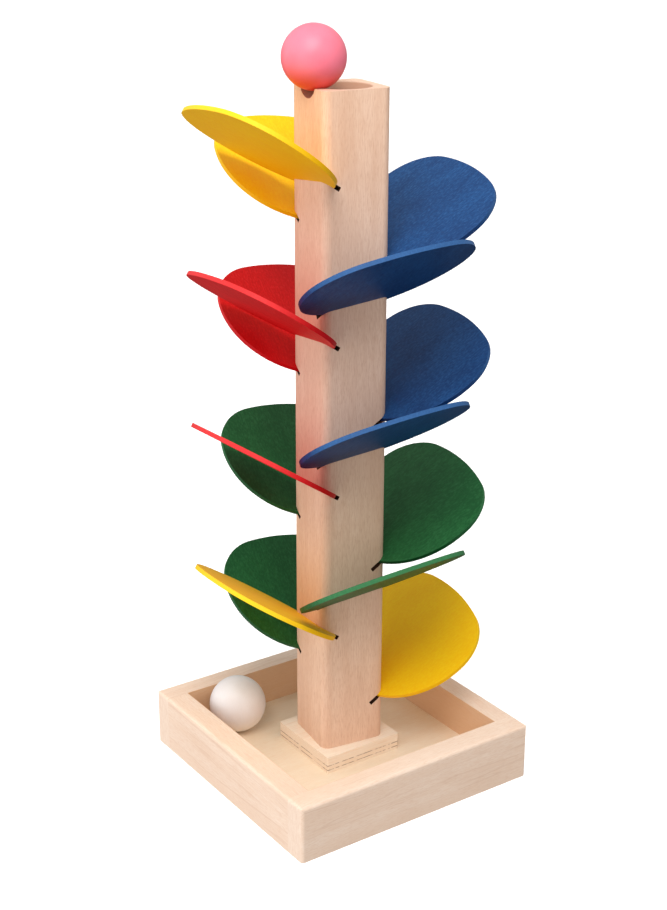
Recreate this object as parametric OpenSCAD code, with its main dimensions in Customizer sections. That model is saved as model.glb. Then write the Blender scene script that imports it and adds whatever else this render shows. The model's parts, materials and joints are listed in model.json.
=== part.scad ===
// Leaf-tower marble run: a square post stands in a catch tray and carries a falling spiral of
// wooden leaves, one leaf to a face. A ball set in the groove on top rolls out of it, drops from
// leaf to leaf with a clack and ends up in the tray.
//
// Millimetres, +Z up. The origin is the middle of the tray's underside and the tray's sides lie
// along X and Y. The side towards -Y is the front.

/* [Tray] */
// Outside length of each side of the square tray
tray_w = 145; // [135:1:170]
// Height of the rails
tray_h = 31; // [29:1:36]
// Thickness of the rails
rail_t = 12.5; // [11:0.5:14]
// Thickness of the floor panel, which is housed in grooves in the rails
floor_t = 4; // [3:0.5:5]
// Height of the floor panel's underside above the table
floor_z = 5; // [4:0.5:6]
// Radius of the tray's upright corners and of its outer top edges
tray_edge_r = 2; // [1:0.5:5]

/* [Post] */
// Side of the square collar plate under the post
collar_w = 46.5; // [44:0.5:54]
// Thickness of the collar plate
collar_t = 9.5; // [8:0.5:12]
// Radius of the collar plate's four corners
collar_corner_r = 0.7; // [0.5:0.1:2]
// Side of the square post
post_w = 36; // [34:1:38]
// Length of the post
post_len = 346; // [340:1:370]
// Radius of the post's four long edges
post_corner_r = 4.5; // [3:0.5:6]
// How far the post stands turned on its collar, degrees anticlockwise seen from above
post_turn = -8; // [-12:1:0]

/* [Leaves] */
// Radius of the round part of a leaf
leaf_r = 44; // [43:0.5:45]
// Reach of a leaf from the face of the post, measured along the leaf
leaf_reach = 65.5; // [64:0.5:67]
// Radius of the two blunt outer corners of a leaf
leaf_corner_r = 28; // [26:1:30]
// Thickness of a leaf, which is also the width of its saw cut
leaf_t = 2.2; // [2:0.2:3.2]
// Horizontal depth of the saw cuts in the post
cut_depth = 8.9; // [8.8:0.1:10]
// Rise of a leaf away from the post, degrees
leaf_lift = 33.5; // [31:0.5:35]
// Fall of a leaf along its own face of the post, degrees
leaf_fall = 7; // [6:1:9]
// Drop from one leaf to the next
leaf_step = 19.6; // [19:0.2:20]
// Height of the top leaf where its saw cut starts, at the corner of the post
first_leaf_z = 325.5; // [322:0.5:332]

/* [Groove on top of the post] */
// Width of the groove where it runs out through the face
groove_w = 16; // [14:1:18]
// Depth of the groove where it runs out through the face
groove_depth = 5.2; // [4:0.2:6]
// Fall of the groove towards the face, degrees
groove_fall = 4; // [2:1:6]
// Width of the round dish in the post's top, which the groove leads out of
dish_w = 32; // [24:1:33]
// Depth of the dish
dish_depth = 4; // [3:0.5:4.5]

/* [Balls] */
// Diameter of each ball
ball_d = 31; // [30:0.1:32]

/* [Hidden] */
$fn = 96;

// Small overshoot, so that cutting solids pass right through a surface
over = 1;

// Colours
wood = "#f0d4b8";
wood_dark = "#e8c49c";
steel = "#b8b8bc";
yellow = "#f4c81e";
blue = "#2a5c96";
red = "#d0201e";
green = "#27693a";
pink = "#f58ca4";
natural = "#e8dcd2";

// Heights
tray_floor_top = floor_z + floor_t;
collar_top = tray_floor_top + collar_t;
post_top = collar_top + post_len;

// Tray: how deep the floor panel sits in the rails, and the clear width inside them
housing = 4;
tray_inside = tray_w - 2 * rail_t;

// Screw that holds post, collar and floor together
screw_r = 2;
screw_hole_r = 2.25;
screw_len = 40;
screw_head_r = 4;
screw_head_h = 2.4;
screw_tip_h = 4;
driver_slot = [5, 1.1, 1.3];

// Groove and dish in the post's top
groove_r = (pow(groove_w / 2, 2) + pow(groove_depth, 2)) / (2 * groove_depth);
dish_r = (pow(dish_w / 2, 2) + pow(dish_depth, 2)) / (2 * dish_depth);

// Leaves: the uphill end of each saw cut is a corner of the post, and the next leaf goes on the
// next face clockwise. The leaf's disc is centred a little uphill of the middle of its face.
leaf_colours = [
    yellow, yellow, blue, blue, red, red, blue, blue,
    red, green, green, green, yellow, green, yellow
];
leaf_shift = 3;
// Room left between the inner edge of a leaf and the bottom of its cut
leaf_end_gap = 0.6;
leaf_centre = leaf_r - (cut_depth - leaf_end_gap) / cos(leaf_lift);
leaf_corner_angle = 6;
leaf_corner = [
    (leaf_r - leaf_corner_r) * cos(leaf_corner_angle),
    leaf_centre + (leaf_r - leaf_corner_r) * sin(leaf_corner_angle)
];
// Radius of the arc that joins the two blunt corners and touches leaf_reach
corner_gap = leaf_reach - leaf_corner[1];
leaf_edge_r = (pow(leaf_corner[0], 2) + pow(corner_gap, 2) - pow(leaf_corner_r, 2))
    / (2 * (corner_gap - leaf_corner_r));
leaf_edge_centre = leaf_reach - leaf_edge_r;
// The corner circles stand this far past the other two arcs, so that each pair of arcs crosses
leaf_corner_proud = 0.03;

// Balls: one sits on the lips of the groove, the other lies in the back channel of the tray
ball_gap = 0.3;
ball_r = ball_d / 2;
ball_on_groove_x = -14.5;
ball_on_groove_z = post_top + sqrt(pow(ball_r + ball_gap, 2) - pow(groove_w / 2, 2));
ball_in_tray_x = -37.5;
ball_in_tray_y = tray_inside / 2 - ball_r - ball_gap;

// A square of the given side with round corners, centred
module rounded_square(side, r) {
    for (turn = [0, 90]) {
        rotate(turn) square([side, side - 2 * r], center = true);
    }
    for (sx = [-1, 1], sy = [-1, 1]) {
        translate([sx * (side / 2 - r), sy * (side / 2 - r)]) circle(r);
    }
}

// The room that the floor panel takes up
module floor_panel() {
    side = tray_inside + 2 * housing;
    translate([-side / 2, -side / 2, floor_z]) cube([side, side, floor_t]);
}

// The outer form of the tray across one pair of its sides, with round top edges at both
module tray_profile() {
    rotate([90, 0, 0]) linear_extrude(tray_w, center = true) {
        translate([-tray_w / 2, 0]) square([tray_w, tray_h - tray_edge_r]);
        translate([tray_edge_r - tray_w / 2, 0]) square([tray_w - 2 * tray_edge_r, tray_h]);
        for (side = [-1, 1]) {
            translate([side * (tray_w / 2 - tray_edge_r), tray_h - tray_edge_r]) circle(tray_edge_r);
        }
    }
}

// A rail: the part of the tray's outer form that lies in a block, grooved for the floor panel
module rail(corner, size) {
    difference() {
        intersection() {
            translate([corner[0], corner[1], 0]) cube([size[0], size[1], tray_h]);
            linear_extrude(tray_h) rounded_square(tray_w, tray_edge_r);
            tray_profile();
            rotate(90) tray_profile();
        }
        floor_panel();
    }
}

// The front rail runs the full width of the tray
module long_rail() {
    rail([-tray_w / 2, -tray_w / 2], [tray_w, rail_t]);
}

// The left rail fits between the two long rails
module short_rail() {
    rail([-tray_w / 2, -tray_inside / 2], [rail_t, tray_inside]);
}

module rail_front() {
    color(wood) long_rail();
}

module rail_back() {
    color(wood) rotate(180) long_rail();
}

module rail_left() {
    color(wood) short_rail();
}

module rail_right() {
    color(wood) rotate(180) short_rail();
}

// Straight upright hole on the tower's axis
module screw_hole(r, z0, z1) {
    translate([0, 0, z0]) cylinder(r = r, h = z1 - z0);
}

// Floor panel, countersunk from below for the post's screw
module tray_floor() {
    color(wood) difference() {
        floor_panel();
        screw_hole(screw_hole_r, floor_z - over, tray_floor_top + over);
        translate([0, 0, floor_z]) cylinder(r1 = screw_head_r, r2 = screw_r, h = screw_head_h);
    }
}

// Plywood collar plate between the floor and the post
module collar() {
    color(wood) difference() {
        translate([0, 0, tray_floor_top]) linear_extrude(collar_t) rounded_square(collar_w, collar_corner_r);
        screw_hole(screw_hole_r, tray_floor_top - over, collar_top + over);
    }
}

// Countersunk wood screw with a cross recess, driven up through floor and collar into the post
module post_screw() {
    color(steel) difference() {
        union() {
            translate([0, 0, floor_z]) {
                cylinder(r1 = screw_head_r, r2 = screw_r, h = screw_head_h);
                cylinder(r = screw_r, h = screw_len - screw_tip_h);
            }
            translate([0, 0, floor_z + screw_len - screw_tip_h]) {
                cylinder(r1 = screw_r, r2 = 0.3, h = screw_tip_h);
            }
        }
        for (turn = [0, 90]) {
            rotate(turn) translate([-driver_slot[0] / 2, -driver_slot[1] / 2, floor_z - over]) {
                cube([driver_slot[0], driver_slot[1], driver_slot[2] + over]);
            }
        }
    }
}

// Puts a shape into the plane of leaf k. There X runs downhill along the face of the post, Y runs
// out from the face, and Z = 0 is the upper side of the leaf.
module at_leaf(k) {
    uphill_z = first_leaf_z - leaf_step * k;
    rotate(post_turn + 90 - 90 * k) {
        translate([0, post_w / 2, uphill_z - tan(leaf_fall) * post_w / 2]) {
            rotate([leaf_lift, leaf_fall, 0]) children();
        }
    }
}

// Outline of a leaf: a round disc whose outer side is flattened to a shallow arc with two blunt
// corners. The arcs meet almost in line, at about two degrees.
module leaf_outline() {
    far = leaf_reach + leaf_r;
    rim = [far * cos(leaf_corner_angle), leaf_centre + far * sin(leaf_corner_angle)];
    edge = far * [leaf_corner[0], leaf_corner[1] - leaf_edge_centre] / leaf_edge_r;
    intersection() {
        translate([0, leaf_centre]) circle(leaf_r);
        translate([0, leaf_edge_centre]) circle(leaf_edge_r);
        union() {
            polygon([[0, leaf_centre], rim, [far, -far], [-far, -far], [-rim[0], rim[1]]]);
            translate([0, leaf_edge_centre]) polygon([[0, 0], 2 * edge, 2 * [-edge[0], edge[1]]]);
            for (side = [-1, 1]) {
                translate([side * leaf_corner[0], leaf_corner[1]]) circle(leaf_corner_r + leaf_corner_proud);
            }
        }
    }
}

// Leaf k, counted from 0 at the top
module leaf(k) {
    color(leaf_colours[k]) at_leaf(k) {
        translate([-leaf_shift, 0, -leaf_t]) {
            linear_extrude(leaf_t) leaf_outline();
        }
    }
}

// Saw cut for leaf k: right across its face of the post and out at both sides
module saw_cut(k) {
    depth = cut_depth / cos(leaf_lift);
    at_leaf(k) translate([-post_w, -depth, -leaf_t]) cube([2 * post_w, post_w, leaf_t]);
}

// Post with its saw cuts, the dish and groove on top, and the pilot hole for its screw
module post() {
    color(wood_dark) difference() {
        rotate(post_turn) {
            translate([0, 0, collar_top]) {
                linear_extrude(post_len) rounded_square(post_w, post_corner_r);
            }
        }
        for (k = [0 : len(leaf_colours) - 1]) {
            saw_cut(k);
        }
        rotate(post_turn) {
            translate([0, 0, post_top + dish_r - dish_depth]) sphere(dish_r);
            translate([-post_w / 2, 0, post_top + groove_r - groove_depth]) {
                rotate([0, 90 - groove_fall, 0]) {
                    translate([0, 0, -post_w / 2]) cylinder(r = groove_r, h = post_w);
                }
            }
        }
        screw_hole(screw_r, collar_top - over, floor_z + screw_len);
    }
}

// Ball on the groove in the post's top
module ball_pink() {
    color(pink) rotate(post_turn) {
        translate([ball_on_groove_x, 0, ball_on_groove_z]) sphere(ball_r);
    }
}

// Ball in the tray
module ball_white() {
    color(natural) {
        translate([ball_in_tray_x, ball_in_tray_y, tray_floor_top + ball_r + ball_gap]) {
            sphere(ball_r);
        }
    }
}

tray_floor();
rail_front();
rail_back();
rail_left();
rail_right();
collar();
post();
post_screw();
leaf(0);  // leaf_01
leaf(1);  // leaf_02
leaf(2);  // leaf_03
leaf(3);  // leaf_04
leaf(4);  // leaf_05
leaf(5);  // leaf_06
leaf(6);  // leaf_07
leaf(7);  // leaf_08
leaf(8);  // leaf_09
leaf(9);  // leaf_10
leaf(10);  // leaf_11
leaf(11);  // leaf_12
leaf(12);  // leaf_13
leaf(13);  // leaf_14
leaf(14);  // leaf_15
ball_pink();
ball_white();
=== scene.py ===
import json
import math

import bpy
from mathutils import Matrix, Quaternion, Vector


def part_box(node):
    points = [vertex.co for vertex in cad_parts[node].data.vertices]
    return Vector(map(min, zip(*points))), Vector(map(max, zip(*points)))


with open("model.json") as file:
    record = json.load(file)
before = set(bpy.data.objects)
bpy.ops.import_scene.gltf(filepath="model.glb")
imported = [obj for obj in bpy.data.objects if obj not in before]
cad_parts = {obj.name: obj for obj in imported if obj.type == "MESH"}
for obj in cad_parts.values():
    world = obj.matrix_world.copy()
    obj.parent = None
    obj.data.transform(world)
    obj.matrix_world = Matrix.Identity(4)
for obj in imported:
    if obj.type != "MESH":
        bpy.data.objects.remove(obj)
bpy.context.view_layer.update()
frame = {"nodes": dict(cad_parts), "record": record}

MM = 0.001

X_AXIS = Vector((1, 0, 0))
Y_AXIS = Vector((0, 1, 0))
Z_AXIS = Vector((0, 0, 1))

# Rails by the names of their CAD nodes: the direction of the grain, and an offset into the wood
# pattern that makes each of them a different piece of wood
RAILS = {
    "rail_front": (X_AXIS, 3.0),
    "rail_back": (X_AXIS, 4.0),
    "rail_left": (Y_AXIS, 7.0),
    "rail_right": (Y_AXIS, 8.0),
}
LEAVES = sorted(name for name in frame["nodes"] if name.startswith("leaf_"))
SLOT_OF = {part["node"]: part["material_slot"] for part in frame["record"]["subparts"]}

# Radii to which the edges of the CAD nodes are rounded
RAIL_BEVEL = 0.3 * MM
COLLAR_BEVEL = 0.5 * MM
POST_BEVEL = 0.8 * MM
LEAF_BEVEL = 0.7 * MM


# ---------------------------------------------------------------- shader helpers

class Shader:
    """One material, with short calls that add a node, set its inputs and return an output."""

    def __init__(self, name, roughness, specular=0.5):
        self.material = bpy.data.materials.new(name)
        self.material.use_nodes = True
        self.tree = self.material.node_tree
        self.surface = self.tree.nodes["Principled BSDF"]
        self.surface.inputs["Roughness"].default_value = roughness
        self.surface.inputs["Specular IOR Level"].default_value = specular

    def node(self, kind, *inputs, output=0, **settings):
        made = self.tree.nodes.new(kind)
        for key, value in settings.items():
            setattr(made, key, value)
        for key, value in inputs:
            self.feed(made.inputs[key], value)
        return made.outputs[output]

    def feed(self, socket, value):
        if isinstance(value, bpy.types.NodeSocket):
            self.tree.links.new(value, socket)
        else:
            socket.default_value = value

    def place(self):
        return self.node("ShaderNodeTexCoord", output="Object")

    def normal(self):
        return self.node("ShaderNodeTexCoord", output="Normal")

    def math(self, operation, a, b=0.0):
        return self.node("ShaderNodeMath", (0, a), (1, b), operation=operation)

    def along(self, vector, axis):
        """How far a vector goes along an axis."""
        return self.node(
            "ShaderNodeVectorMath", (0, vector), (1, tuple(axis)),
            operation="DOT_PRODUCT", output="Value",
        )

    def stretched(self, axes, lengths, offset=0.0):
        """The place, measured along three axes in units of the three lengths."""
        place = self.place()
        parts = [
            self.math("MULTIPLY_ADD", self.along(place, axis), 1 / length)
            for axis, length in zip(axes, lengths)
        ]
        for part in parts:
            part.node.inputs[2].default_value = offset
        return self.node("ShaderNodeCombineXYZ", (0, parts[0]), (1, parts[1]), (2, parts[2]))

    def noise(self, vector, detail=2.0, roughness=0.5, distortion=0.0):
        return self.node(
            "ShaderNodeTexNoise", ("Vector", vector), ("Scale", 1.0), ("Detail", detail),
            ("Roughness", roughness), ("Distortion", distortion), output="Fac",
        )

    def between(self, value, low, high):
        """0 below low, 1 above high, smooth in between. With low above high it falls instead."""
        rising = low < high
        return self.node(
            "ShaderNodeMapRange", ("Value", value),
            ("From Min", min(low, high)), ("From Max", max(low, high)),
            ("To Min", 0.0 if rising else 1.0), ("To Max", 1.0 if rising else 0.0),
            interpolation_type="SMOOTHSTEP",
        )

    def mix(self, factor, a, b):
        made = self.tree.nodes.new("ShaderNodeMix")
        made.data_type = "RGBA"
        self.feed(made.inputs[0], factor)
        self.feed(made.inputs[6], a)
        self.feed(made.inputs[7], b)
        return made.outputs[2]

    def bump(self, height, depth, strength=1.0):
        return self.node(
            "ShaderNodeBump", ("Height", height), ("Distance", depth), ("Strength", strength)
        )

    def finish(self, colour, roughness=None, normal=None):
        self.feed(self.surface.inputs["Base Color"], colour)
        if roughness is not None:
            self.feed(self.surface.inputs["Roughness"], roughness)
        if normal is not None:
            self.feed(self.surface.inputs["Normal"], normal)
        return self.material


def srgb(red, green, blue):
    """A colour given as 0 to 255 on screen, in the linear units of the shaders."""
    def linear(value):
        value /= 255
        return value / 12.92 if value <= 0.04045 else ((value + 0.055) / 1.055) ** 2.4
    return (linear(red), linear(green), linear(blue), 1.0)


def side_axes(grain):
    """Two axes square to the grain and to each other."""
    first = X_AXIS if abs(grain.x) < 0.9 else Y_AXIS
    second = grain.cross(first).normalized()
    return second.cross(grain).normalized(), second


# ---------------------------------------------------------------- materials

def bare_wood(name, grain, light, dark, end, offset, fleck, lines=0.0, kerf_and_dish_shade=None, inner_shade=None):
    """Sanded bare wood: growth bands, fine fibres, short pore flecks and darker end grain.

    lines is the strength of the thin lines between growth bands. The next to last argument, for the
    post, holds the height of its top and two colours of painted shade: one for the insides of its saw
    kerfs and one for the sunken dish in its top. The last argument, for a rail, holds the tray's inner
    half width and a darker, more orange colour painted on the faces towards it as painted shade and
    painted reflected light."""
    s = Shader(name, roughness=0.6, specular=0.2)
    across, third = side_axes(grain)
    axes = (grain, across, third)

    bands = s.noise(s.stretched(axes, (170 * MM, 8 * MM, 8 * MM), offset), 2.0, 0.55, 0.6)
    fibres = s.noise(s.stretched(axes, (7 * MM, 0.45 * MM, 0.45 * MM), offset), 3.0, 0.65)
    pores = s.noise(s.stretched(axes, (3.2 * MM, 0.5 * MM, 0.5 * MM), offset), 1.0, 0.5)
    cloud = s.noise(s.stretched(axes, (60 * MM, 22 * MM, 22 * MM), offset), 2.0, 0.5)

    colour = s.mix(s.math("MULTIPLY", s.between(bands, 0.35, 0.7), 0.5), light, dark)
    colour = s.mix(s.math("MULTIPLY", s.between(fibres, 0.4, 0.66), 0.75), colour, dark)
    fleck_mask = s.math("MULTIPLY", s.between(pores, 0.52, 0.68), fleck)
    colour = s.mix(fleck_mask, colour, end)
    colour = s.mix(s.math("MULTIPLY", s.between(cloud, 0.4, 0.75), 0.25), colour, end)
    if lines:
        late = s.between(s.math("ABSOLUTE", s.math("SUBTRACT", bands, 0.52)), 0.022, 0.002)
        late = s.math("MULTIPLY", late, s.between(cloud, 0.35, 0.6))
        colour = s.mix(s.math("MULTIPLY", late, lines), colour, end)

    normal = s.normal()
    end_mask = s.between(s.math("ABSOLUTE", s.along(normal, grain)), 0.75, 0.92)
    rings = s.noise(s.stretched(axes, (40 * MM, 1.1 * MM, 4 * MM), offset), 3.0, 0.6, 0.8)
    end_colour = s.mix(s.math("MULTIPLY", s.between(rings, 0.3, 0.7), 0.4), light, end)
    colour = s.mix(s.math("MULTIPLY", end_mask, 0.8), colour, end_colour)

    if kerf_and_dish_shade is not None:
        # Painted shade: the insides of the saw kerfs are coloured near black-brown, standing in for
        # the shade deep in the narrow slots
        top, kerf_shade, dish_shade = kerf_and_dish_shade
        slope = s.math("ABSOLUTE", s.along(normal, Z_AXIS))
        height = s.along(s.place(), Z_AXIS)
        rising = s.between(slope, 0.3, 0.42)
        level = s.between(slope, 0.93, 0.88)
        below = s.between(height, top - 12 * MM, top - 13 * MM)
        kerf_shade_mask = s.math("MULTIPLY", s.math("MULTIPLY", rising, level), below)
        colour = s.mix(kerf_shade_mask, colour, kerf_shade)
        # Painted shade: the sunken dish in the top is coloured darker, standing in for the shade on
        # its far wall
        sunk = s.math(
            "MULTIPLY", s.between(height, top - 0.2 * MM, top - 0.9 * MM),
            s.between(height, top - 10 * MM, top - 9 * MM),
        )
        dish_shade_mask = s.math("MULTIPLY", sunk, s.between(s.along(normal, Z_AXIS), 0.15, 0.3))
        colour = s.mix(s.math("MULTIPLY", dish_shade_mask, 0.85), colour, dish_shade)
    # Painted shade and painted reflected light: faces towards the inside of the tray are coloured
    # darker and more orange
    if inner_shade is not None:
        half, inner_shade_colour = inner_shade
        reach = s.math(
            "MAXIMUM", s.math("ABSOLUTE", s.along(s.place(), X_AXIS)),
            s.math("ABSOLUTE", s.along(s.place(), Y_AXIS)),
        )
        inner_shade_mask = s.between(reach, half + 0.3 * MM, half + 0.1 * MM)
        colour = s.mix(s.math("MULTIPLY", inner_shade_mask, 0.6), colour, inner_shade_colour)

    height = s.math("ADD", s.math("MULTIPLY", fibres, 0.6), s.math("MULTIPLY", pores, -0.4))
    rough = s.math("MULTIPLY_ADD", fibres, 0.2)
    rough.node.inputs[2].default_value = 0.5
    return s.finish(colour, rough, s.bump(height, 0.08 * MM, 0.5))


# Heights of the glue lines in the plywood, as parts of its thickness
GLUE_LINES = (0.20, 0.47)


def plywood(name, low, high, light, dark, glue):
    """Three-ply plate: two thin broken glue lines on the edges, and a face with long grain.

    low and high are the heights of its two faces."""
    s = Shader(name, roughness=0.62, specular=0.3)
    axes = (X_AXIS, Y_AXIS, Z_AXIS)
    fibres = s.noise(s.stretched(axes, (12 * MM, 0.6 * MM, 0.8 * MM)), 3.0, 0.6)
    cross = s.noise(s.stretched(axes, (0.7 * MM, 0.7 * MM, 0.5 * MM)), 2.0, 0.6)
    broken = s.noise(s.stretched(axes, (2.5 * MM, 2.5 * MM, 30 * MM)), 2.0, 0.6)

    colour = s.mix(s.between(fibres, 0.4, 0.7), light, dark)
    height = s.node(
        "ShaderNodeMapRange", ("Value", s.along(s.place(), Z_AXIS)),
        ("From Min", low), ("From Max", high),
    )
    edge = s.between(s.math("ABSOLUTE", s.along(s.normal(), Z_AXIS)), 0.6, 0.3)
    core = s.math(
        "MULTIPLY", s.between(height, 0.2, 0.22), s.between(height, 0.48, 0.46)
    )
    core_colour = s.mix(s.between(cross, 0.35, 0.65), dark, light)
    colour = s.mix(s.math("MULTIPLY", s.math("MULTIPLY", core, edge), 0.8), colour, core_colour)
    for line in GLUE_LINES:
        off = s.math("ABSOLUTE", s.math("SUBTRACT", height, line))
        mask = s.math("MULTIPLY", s.between(off, 0.035, 0.012), edge)
        mask = s.math("MULTIPLY", mask, s.between(broken, 0.3, 0.55))
        colour = s.mix(s.math("MULTIPLY", mask, 0.75), colour, glue)
    return s.finish(colour, None, s.bump(fibres, 0.06 * MM, 0.5))


def stained_leaf(name, out, side, up, face, deep, pale_and_highlight, offset):
    """Stained thin plywood: the grain shows through as fine fibres. Edges that face up are painted
    paler as a painted highlight, and edges that face down are painted deeper as painted shade."""
    s = Shader(name, roughness=0.5, specular=0.2)
    axes = (out, side, up)
    fibres = s.noise(s.stretched(axes, (9 * MM, 0.45 * MM, 3 * MM), offset), 3.0, 0.65)
    speckle = s.noise(s.stretched(axes, (1.8 * MM, 0.9 * MM, 1 * MM), offset), 2.0, 0.6)
    cloud = s.noise(s.stretched(axes, (26 * MM, 16 * MM, 10 * MM), offset), 3.0, 0.6)

    colour = s.mix(s.math("MULTIPLY", s.between(cloud, 0.35, 0.7), 0.45), face, deep)
    colour = s.mix(s.math("MULTIPLY", s.between(fibres, 0.42, 0.68), 0.45), colour, deep)
    colour = s.mix(s.math("MULTIPLY", s.between(speckle, 0.55, 0.38), 0.45), colour, deep)
    colour = s.mix(s.math("MULTIPLY", s.between(speckle, 0.52, 0.72), 0.22), colour, pale_and_highlight)

    normal = s.normal()
    facing = s.math("ABSOLUTE", s.along(normal, up))
    # Painted highlight and painted shade by the way an edge faces: edges facing up are mixed towards
    # the paler stain, and the speckled pale marks of wear show only there, so they are part wear and
    # part painted highlight; edges facing down are mixed towards the deepest stain as painted shade
    upward = s.between(s.along(normal, Z_AXIS), -0.2, 0.3)
    on_rim = s.between(facing, 0.75, 0.35)
    speckled_wear_and_highlight = s.math("MULTIPLY", s.between(facing, 0.98, 0.8), s.between(speckle, 0.3, 0.6))
    edge = s.math("MAXIMUM", s.math("MULTIPLY", on_rim, 0.4), s.math("MULTIPLY", speckled_wear_and_highlight, 0.35))
    colour = s.mix(s.math("MULTIPLY", edge, upward), colour, pale_and_highlight)
    rim_painted_shade = s.math("MULTIPLY", on_rim, s.math("SUBTRACT", 1.0, upward))
    colour = s.mix(s.math("MULTIPLY", rim_painted_shade, 0.8), colour, deep)

    rough = s.math("MULTIPLY_ADD", fibres, 0.25)
    rough.node.inputs[2].default_value = 0.4
    return s.finish(colour, rough, s.bump(fibres, 0.07 * MM, 0.45))


def painted_ball(name, colour, deep, under, roughness, grain):
    """Turned wooden ball: satin paint or bare wood with faint turning lines and grain below.

    The underside is painted in the colour under, as painted shade and painted reflection of the wood
    that it lies on."""
    s = Shader(name, roughness=roughness, specular=0.45)
    axes = (Z_AXIS, X_AXIS, Y_AXIS)
    soft = s.noise(s.stretched(axes, (12 * MM, 12 * MM, 12 * MM)), 2.0, 0.5)
    fibres = s.noise(s.stretched(axes, (9 * MM, 0.6 * MM, 0.6 * MM)), 3.0, 0.6)
    turned = s.noise(s.stretched(axes, (0.5 * MM, 40 * MM, 40 * MM)), 2.0, 0.5)
    shade = s.mix(s.math("MULTIPLY", s.between(soft, 0.35, 0.7), 0.4), colour, deep)
    shade = s.mix(s.math("MULTIPLY", s.between(fibres, 0.5, 0.75), grain), shade, deep)
    # Painted shade and painted reflection: faces that point down are mixed towards the underside
    # colour
    shade = s.mix(s.between(s.along(s.normal(), Z_AXIS), -0.1, -0.9), shade, under)
    height = s.math("ADD", s.math("MULTIPLY", fibres, 0.6), s.math("MULTIPLY", turned, 0.4))
    rough = s.math("MULTIPLY_ADD", soft, 0.12)
    rough.node.inputs[2].default_value = roughness - 0.06
    return s.finish(shade, rough, s.bump(height, 0.04 * MM, 0.35))


def bright_steel(name):
    """Plain steel with fine turned scratches."""
    s = Shader(name, roughness=0.35)
    s.surface.inputs["Metallic"].default_value = 1.0
    scratch = s.noise(s.stretched((Z_AXIS, X_AXIS, Y_AXIS), (0.2 * MM, 3 * MM, 3 * MM)), 2.0)
    colour = s.mix(s.between(scratch, 0.35, 0.7), srgb(205, 205, 210), srgb(150, 150, 156))
    return s.finish(colour, None, s.bump(scratch, 0.02 * MM, 0.4))


# ---------------------------------------------------------------- CAD nodes

def dress(name, material, bevel):
    """Gives a CAD node its material, and rounds its edges by the given radius."""
    node = frame["nodes"][name]
    if not node.material_slots:
        node.data.materials.append(material)
    for slot in node.material_slots:
        slot.material = material
    weld = node.modifiers.new("weld", "WELD")
    weld.merge_threshold = 0.002 * MM
    if bevel:
        rounding = node.modifiers.new("rounding", "BEVEL")
        rounding.width = bevel
        rounding.segments = 3
        rounding.limit_method = "ANGLE"
        rounding.angle_limit = math.radians(35)
        rounding.use_clamp_overlap = True
    shading = node.modifiers.new("shading", "WEIGHTED_NORMAL")
    shading.weight = 100


def leaf_axes(name):
    """Directions out from the post, along it and square to the leaf, read off its CAD mesh."""
    total = Vector()
    for polygon in frame["nodes"][name].data.polygons:
        if polygon.normal.z > 0.7:
            total += polygon.normal * polygon.area
    up = total.normalized()
    low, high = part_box(name)
    out = (low + high) / 2
    out.z = 0
    out = (out - up * out.dot(up)).normalized()
    return out, up.cross(out), up


# ---------------------------------------------------------------- dressing the object

# Wood of the rails: between the bands, in them, and in end grain and flecks
PALE = srgb(247, 225, 207)
PALE_DARK = srgb(238, 208, 184)
PALE_END = srgb(220, 184, 158)
# Inner half width of the tray, and a darker, more orange colour painted on the faces towards it as
# painted shade and painted reflected light
INNER_FACE_SHADE = (60 * MM, srgb(222, 174, 124))

for name, (grain, offset) in RAILS.items():
    wood = bare_wood(
        "wood_" + name, grain, PALE, PALE_DARK, PALE_END, offset, 0.25,
        lines=0.4, inner_shade=INNER_FACE_SHADE,
    )
    dress(name, wood, RAIL_BEVEL)

floor_wood = bare_wood(
    "wood_floor", X_AXIS, srgb(252, 238, 217), srgb(246, 226, 200), srgb(230, 202, 172), 11.0, 0.15
)
dress("tray_floor", floor_wood, 0)

collar_low, collar_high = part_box("collar")
collar_ply = plywood(
    "plywood_collar", collar_low.z, collar_high.z,
    srgb(254, 240, 222), srgb(248, 227, 204), srgb(132, 98, 74),
)
dress("collar", collar_ply, COLLAR_BEVEL)

post_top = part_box("post")[1].z
post_wood = bare_wood(
    "wood_post", Z_AXIS, srgb(243, 210, 186), srgb(228, 188, 161), srgb(208, 162, 132), 0.0, 0.3,
    # The last two colours are painted shade: the insides of the saw kerfs and the sunken dish in the
    # top
    kerf_and_dish_shade=(post_top, srgb(64, 38, 26), srgb(178, 132, 104)),
)
dress("post", post_wood, POST_BEVEL)
dress("post_screw", bright_steel("steel_screw"), 0)

# Step from one leaf to the next in the pattern of the wood
LEAF_OFFSET = 2.3
# Stain on a leaf's face, the same where it is deepest, and a paler tone for random speckles; the
# deepest also goes on downward-facing edges as painted shade, the paler on upward-facing edges as a
# painted highlight
LEAF_COLOURS = {
    "yellow_leaf": (srgb(255, 206, 8), srgb(249, 188, 0), srgb(255, 218, 54)),
    "blue_leaf": (srgb(26, 77, 134), srgb(12, 48, 98), srgb(68, 116, 172)),
    "red_leaf": (srgb(228, 14, 20), srgb(200, 4, 12), srgb(240, 74, 76)),
    "green_leaf": (srgb(36, 106, 56), srgb(20, 78, 40), srgb(72, 138, 92)),
}
for number, name in enumerate(LEAVES):
    out, side, up = leaf_axes(name)
    colours = LEAF_COLOURS[SLOT_OF[name]]
    stain = stained_leaf("stain_" + name, out, side, up, *colours, LEAF_OFFSET * number)
    dress(name, stain, LEAF_BEVEL)

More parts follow.
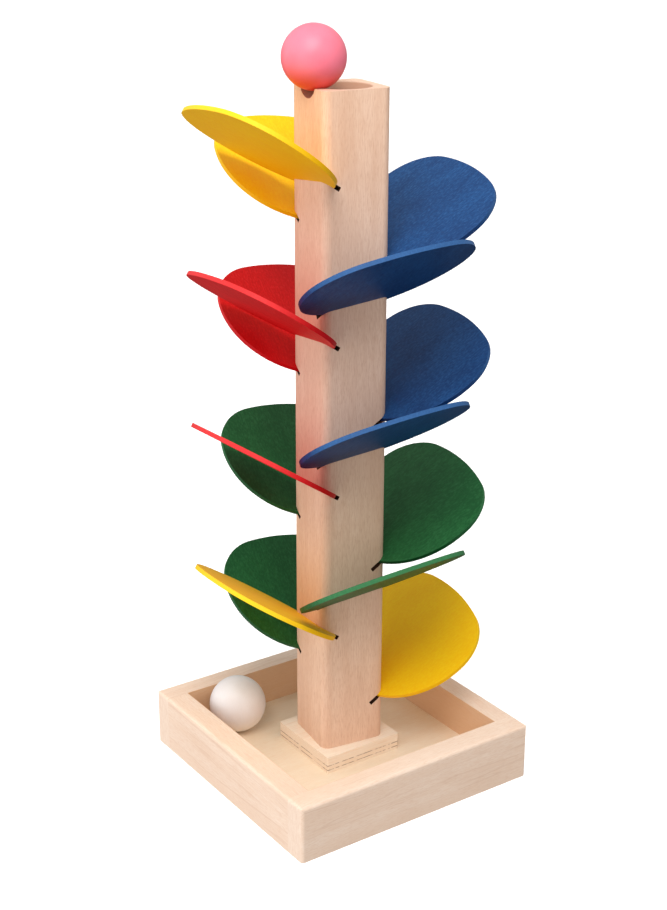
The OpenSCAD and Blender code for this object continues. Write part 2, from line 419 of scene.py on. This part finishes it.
# The third colour of each ball is painted on its underside as painted shade and painted reflection of
# the wood below
pink = painted_ball(
    "paint_pink", srgb(246, 125, 147), srgb(240, 108, 128), srgb(226, 70, 62), 0.42, 0.15
)
plain = painted_ball(
    "wood_plain_ball", srgb(242, 239, 241), srgb(231, 223, 221), srgb(246, 238, 232), 0.45, 0.35
)
dress("ball_pink", pink, 0)
dress("ball_white", plain, 0)


# ---------------------------------------------------------------- floor, light and camera

def floor():
    """Wide pale floor just under the tray, turned up far away from it like a studio sheet. It
    sends no light back up at the object."""
    flat, far, rise = 8.0, 13.0, 2.0
    signs = [(-1, -1), (1, -1), (1, 1), (-1, 1)]
    corners = [
        (x * half, y * half, height) for half, height in ((flat, 0), (far, rise)) for x, y in signs
    ]
    slopes = [(k + 4, (k + 1) % 4 + 4, (k + 1) % 4, k) for k in range(4)]
    mesh = bpy.data.meshes.new("floor")
    mesh.from_pydata(corners, [], [(0, 1, 2, 3)] + slopes)
    plane = bpy.data.objects.new("floor", mesh)
    bpy.context.scene.collection.objects.link(plane)
    plane.location.z = -0.2 * MM
    plane.visible_diffuse = False
    plane.visible_glossy = False
    plane.visible_shadow = False
    s = Shader("floor", roughness=0.9, specular=0.0)
    mesh.materials.append(s.finish((0.95, 0.95, 0.95, 1)))
    return plane


def lamp(name, kind, towards, power, colour):
    """A light that shines from the given direction onto the middle of the tower."""
    data = bpy.data.lights.new(name, kind)
    data.energy = power
    data.color = colour
    light = bpy.data.objects.new(name, data)
    light.rotation_euler = Vector(towards).to_track_quat("Z", "Y").to_euler()
    bpy.context.scene.collection.objects.link(light)
    return light


def softbox(name, towards, distance, across, power, colour):
    """Round soft light, near enough that the foot of the tower gets less of it than the top."""
    light = lamp(name, "AREA", towards, power, colour)
    light.data.shape = "DISK"
    light.data.size = across
    light.location = Vector((0, 0, 0.2)) + Vector(towards).normalized() * distance
    return light


def surroundings(above, below, glows):
    """White studio: bright overhead, dim below, and wide glows from low on some sides."""
    world = bpy.data.worlds.new("studio")
    world.use_nodes = True
    tree = world.node_tree
    background = tree.nodes["Background"]
    place = tree.nodes.new("ShaderNodeTexCoord").outputs["Generated"]

    def along(axis):
        dot = tree.nodes.new("ShaderNodeVectorMath")
        dot.operation = "DOT_PRODUCT"
        dot.inputs[1].default_value = tuple(Vector(axis).normalized())
        tree.links.new(place, dot.inputs[0])
        return dot.outputs["Value"]

    def ramp(value, low, high, first, last):
        made = tree.nodes.new("ShaderNodeMapRange")
        made.interpolation_type = "SMOOTHSTEP"
        tree.links.new(value, made.inputs["Value"])
        for key, amount in zip(("From Min", "From Max", "To Min", "To Max"), (low, high, first, last)):
            made.inputs[key].default_value = amount
        return made.outputs["Result"]

    total = ramp(along(Z_AXIS), -0.15, 0.15, below, above)
    for glow_from, glow in glows:
        added = tree.nodes.new("ShaderNodeMath")
        added.operation = "ADD"
        tree.links.new(total, added.inputs[0])
        tree.links.new(ramp(along(glow_from), 0.2, 0.95, 0.0, glow), added.inputs[1])
        total = added.outputs[0]
    tree.links.new(total, background.inputs["Strength"])
    background.inputs["Color"].default_value = (1.0, 0.98, 0.96, 1)
    bpy.context.scene.world = world


def studio(ground):
    surroundings(
        above=0.65, below=0.12,
        glows=[((-0.93, 0.25, -0.25), 0.88), ((-0.15, -0.95, -0.25), 0.25)],
    )
    softbox("key", (-0.36, -0.42, 0.83), 1.0, 0.7, 7.2, (1.0, 0.98, 0.96))

    # A wash of light for the floor alone keeps it white around the soft shadow
    wash = lamp("floor_wash", "SUN", (0, 0, 1), 1.9, (1, 1, 1))
    wash.data.use_shadow = False
    only_floor = bpy.data.collections.new("floor_wash_lights")
    only_floor.objects.link(ground)
    wash.light_linking.receiver_collection = only_floor
    bpy.context.scene.view_settings.view_transform = "Standard"
    bpy.context.scene.view_settings.look = "None"


def camera():
    """Looks at the tower from in front and to its left, a little from above."""
    place = Vector((-0.4452, -0.6365, 0.4694))
    target = Vector((-0.0027, 0.0018, 0.1777))
    roll = math.radians(0.17)
    data = bpy.data.cameras.new("camera")
    data.lens = 64.0
    data.sensor_width = 36
    view = bpy.data.objects.new("camera", data)
    view.location = place
    facing = (target - place).to_track_quat("-Z", "Y")
    view.rotation_euler = (facing @ Quaternion((0, 0, 1), roll)).to_euler()
    bpy.context.scene.collection.objects.link(view)
    bpy.context.scene.camera = view


studio(floor())
camera()
